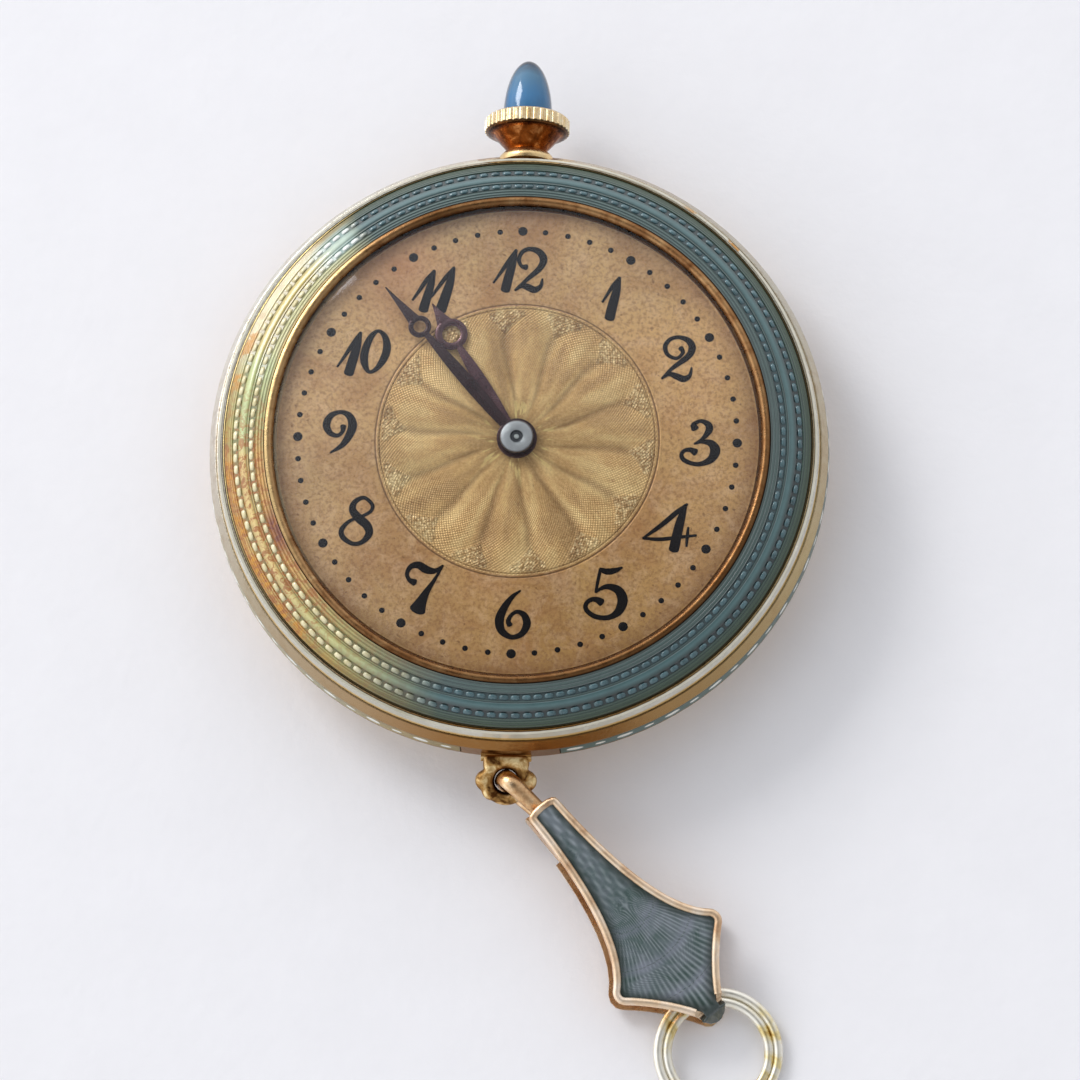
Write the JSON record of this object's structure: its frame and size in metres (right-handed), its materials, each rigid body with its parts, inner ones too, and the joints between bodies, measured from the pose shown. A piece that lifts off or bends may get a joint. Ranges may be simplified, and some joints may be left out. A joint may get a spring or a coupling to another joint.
{
  "type": "pendant watch",
  "caption": "Round gold pendant watch with blue enamel, a stone-tipped winding crown, and a spade-shaped spring clip holding a split ring on a link.",
  "frame": {"origin": "centre of the small flat on the domed back, which the watch lies on", "axes": "+Z along the dial's axis, out of the crystal; +Y towards twelve o'clock and the crown; +X towards three o'clock"},
  "size_m": [0.028, 0.0483, 0.0067],
  "materials": {
    "gold": "polished yellow gold",
    "rose_gold": "polished rose gold",
    "teal_enamel": "glossy enamel",
    "white_enamel": "glossy enamel",
    "crystal": "clear",
    "dial": "satin gilt",
    "steel": "satin",
    "dark_steel": "dark polished",
    "blue_stone": "polished"
  },
  "bodies": {
    "watch": {"case_back": "gold", "case_middle": "gold", "band_enamel_left": "teal_enamel", "band_enamel_right": "teal_enamel", "white_ring": "white_enamel", "bezel": "rose_gold", "bezel_enamel": "teal_enamel", "crystal": "crystal", "dial": "dial", "movement": "steel", "link": "gold", "clip_back": "gold", "clip_pin": "gold", "end_ring": "gold"},
    "minute": {"minute_hand": "dark_steel", "centre_cap": "steel"},
    "hour": {"hour_hand": "dark_steel"},
    "pinion": {"winding_pinion": "steel"},
    "crown": {"stem": "steel", "crown": "gold", "cabochon": "blue_stone"},
    "clip": {"clip_front": "rose_gold", "clip_enamel": "teal_enamel"}
  },
  "joints": [
    {"name": "minute_turn", "type": "hinge", "parent": "watch", "child": "minute", "pos_m": [0, 0, 0.005], "axis": [0, 0, 1], "continuous": true},
    {"name": "hour_turn", "type": "hinge", "parent": "watch", "child": "hour", "pos_m": [0, 0, 0.005], "axis": [0, 0, 1], "continuous": true},
    {"name": "crown_turn", "type": "hinge", "parent": "watch", "child": "pinion", "pos_m": [0, 0.0097, 0.00327], "axis": [0, 1, 0], "continuous": true},
    {"name": "crown_pull", "type": "slide", "parent": "pinion", "child": "crown", "axis": [0, 1, 0], "range_m": [0, 0.0006]},
    {"name": "clip_open", "type": "hinge", "parent": "watch", "child": "clip", "pos_m": [0.00263, -0.01775, 0.00211], "axis": [-0.7478, -0.6639, 0], "range_deg": [0, 6], "stiffness_Nm_per_rad": 0.005, "springref_deg": -11.46}
  ],
  "couplings": [
    {"joint": "hour_turn", "follows": "minute_turn", "ratio": 0.083333}
  ]
}
